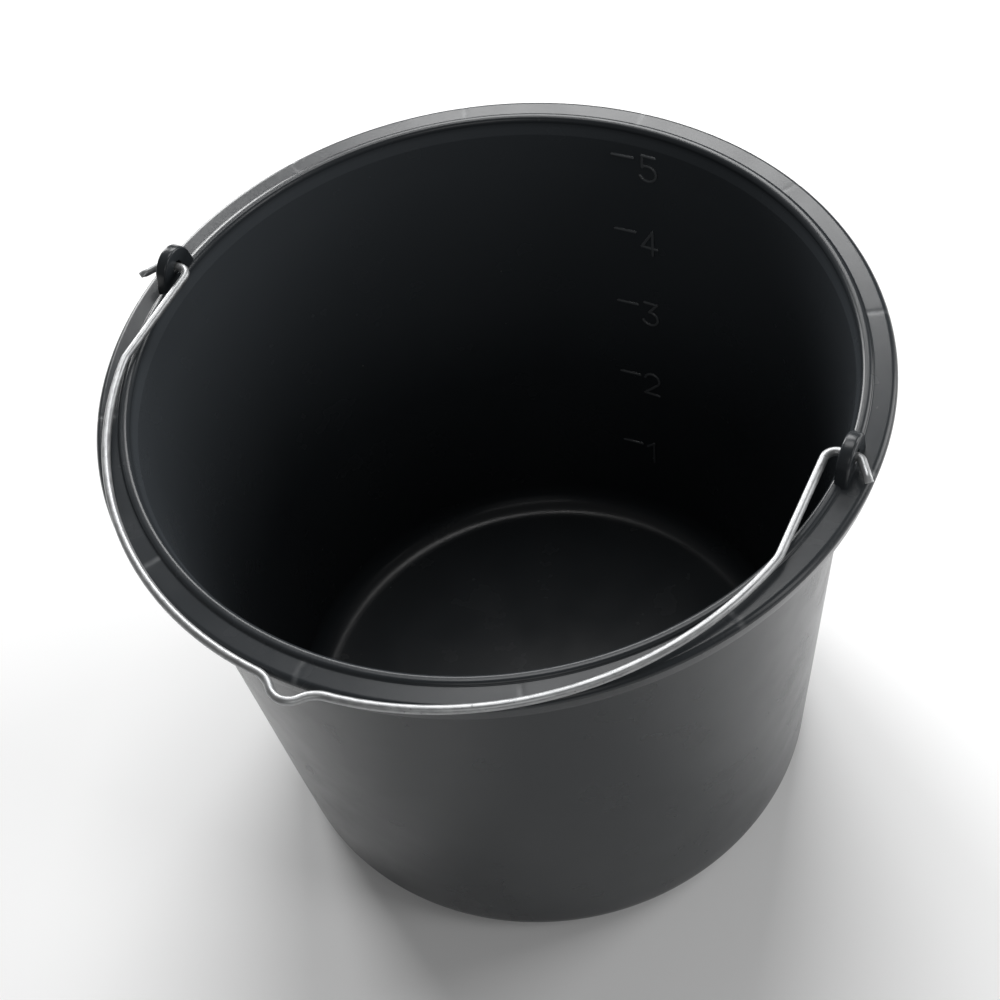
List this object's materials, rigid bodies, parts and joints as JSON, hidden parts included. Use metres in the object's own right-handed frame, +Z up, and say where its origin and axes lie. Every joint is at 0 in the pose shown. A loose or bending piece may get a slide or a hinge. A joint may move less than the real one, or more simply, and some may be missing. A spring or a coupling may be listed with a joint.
{
  "type": "florist bucket",
  "caption": "Round tapered black plastic bucket with a turned-down rim, a litre scale inside and a swinging wire bail, for cut flowers in water.",
  "frame": {"origin": "centre of the foot ring's resting face", "axes": "+Z up, +X along the bail's hinge axis through both ears, +Y towards the side that carries the litre scale; the bail rests on the rim on the -Y side"},
  "size_m": [0.2324, 0.2372, 0.1928],
  "materials": {
    "black_plastic": "satin moulded polypropylene",
    "galvanised_wire": "drawn galvanised steel wire"
  },
  "bodies": {
    "bucket": {"bucket": "black_plastic"},
    "bail": {"bail": "galvanised_wire"}
  },
  "joints": [
    {"name": "bail_swing", "type": "hinge", "parent": "bucket", "child": "bail", "pos_m": [0, 0, 0.1867], "axis": [-1, 0, 0], "range_deg": [0, 184]}
  ]
}
